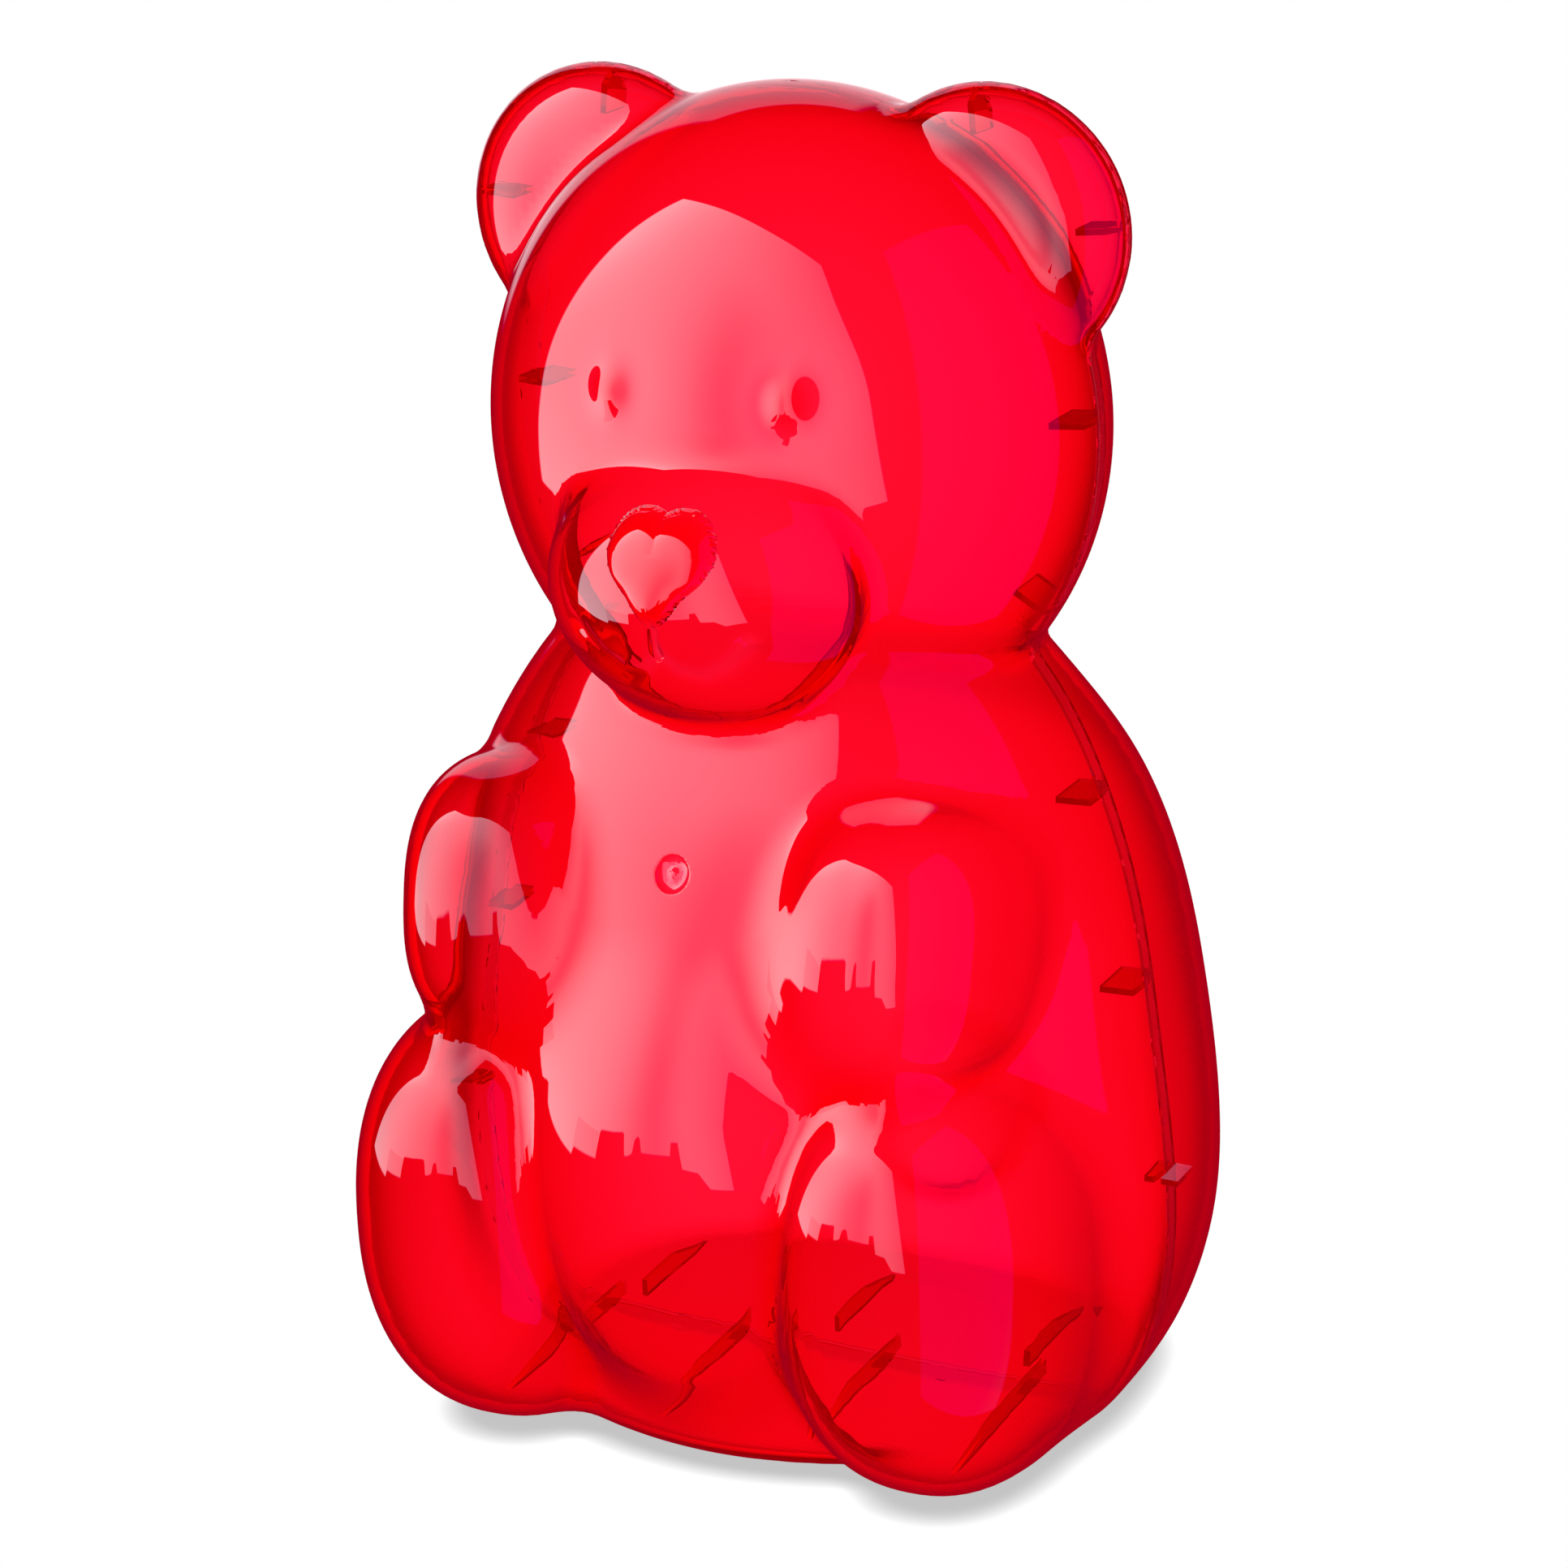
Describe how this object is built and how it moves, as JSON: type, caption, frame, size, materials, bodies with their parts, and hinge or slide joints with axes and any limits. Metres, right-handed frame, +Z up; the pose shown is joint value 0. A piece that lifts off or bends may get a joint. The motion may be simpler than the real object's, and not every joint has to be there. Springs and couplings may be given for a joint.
{
  "type": "seated bear figurine",
  "caption": "Hollow seated bear figurine moulded in clear red plastic as a front and a back half shell that push together on a lap joint.",
  "frame": {"origin": "on the resting surface, where the plane of symmetry meets the parting plane between the two shells", "axes": "+Z up, -Y the way the bear faces, +X the bear's left"},
  "size_m": [0.1896, 0.1923, 0.3],
  "materials": {
    "clear_red": "polished, transparent"
  },
  "bodies": {
    "front": {"front_shell": "clear_red"},
    "back": {"back_shell": "clear_red"}
  },
  "joints": [
    {"name": "back_shell_pull", "type": "slide", "parent": "front", "child": "back", "axis": [0, 1, 0], "range_m": [0, 0.15]}
  ]
}
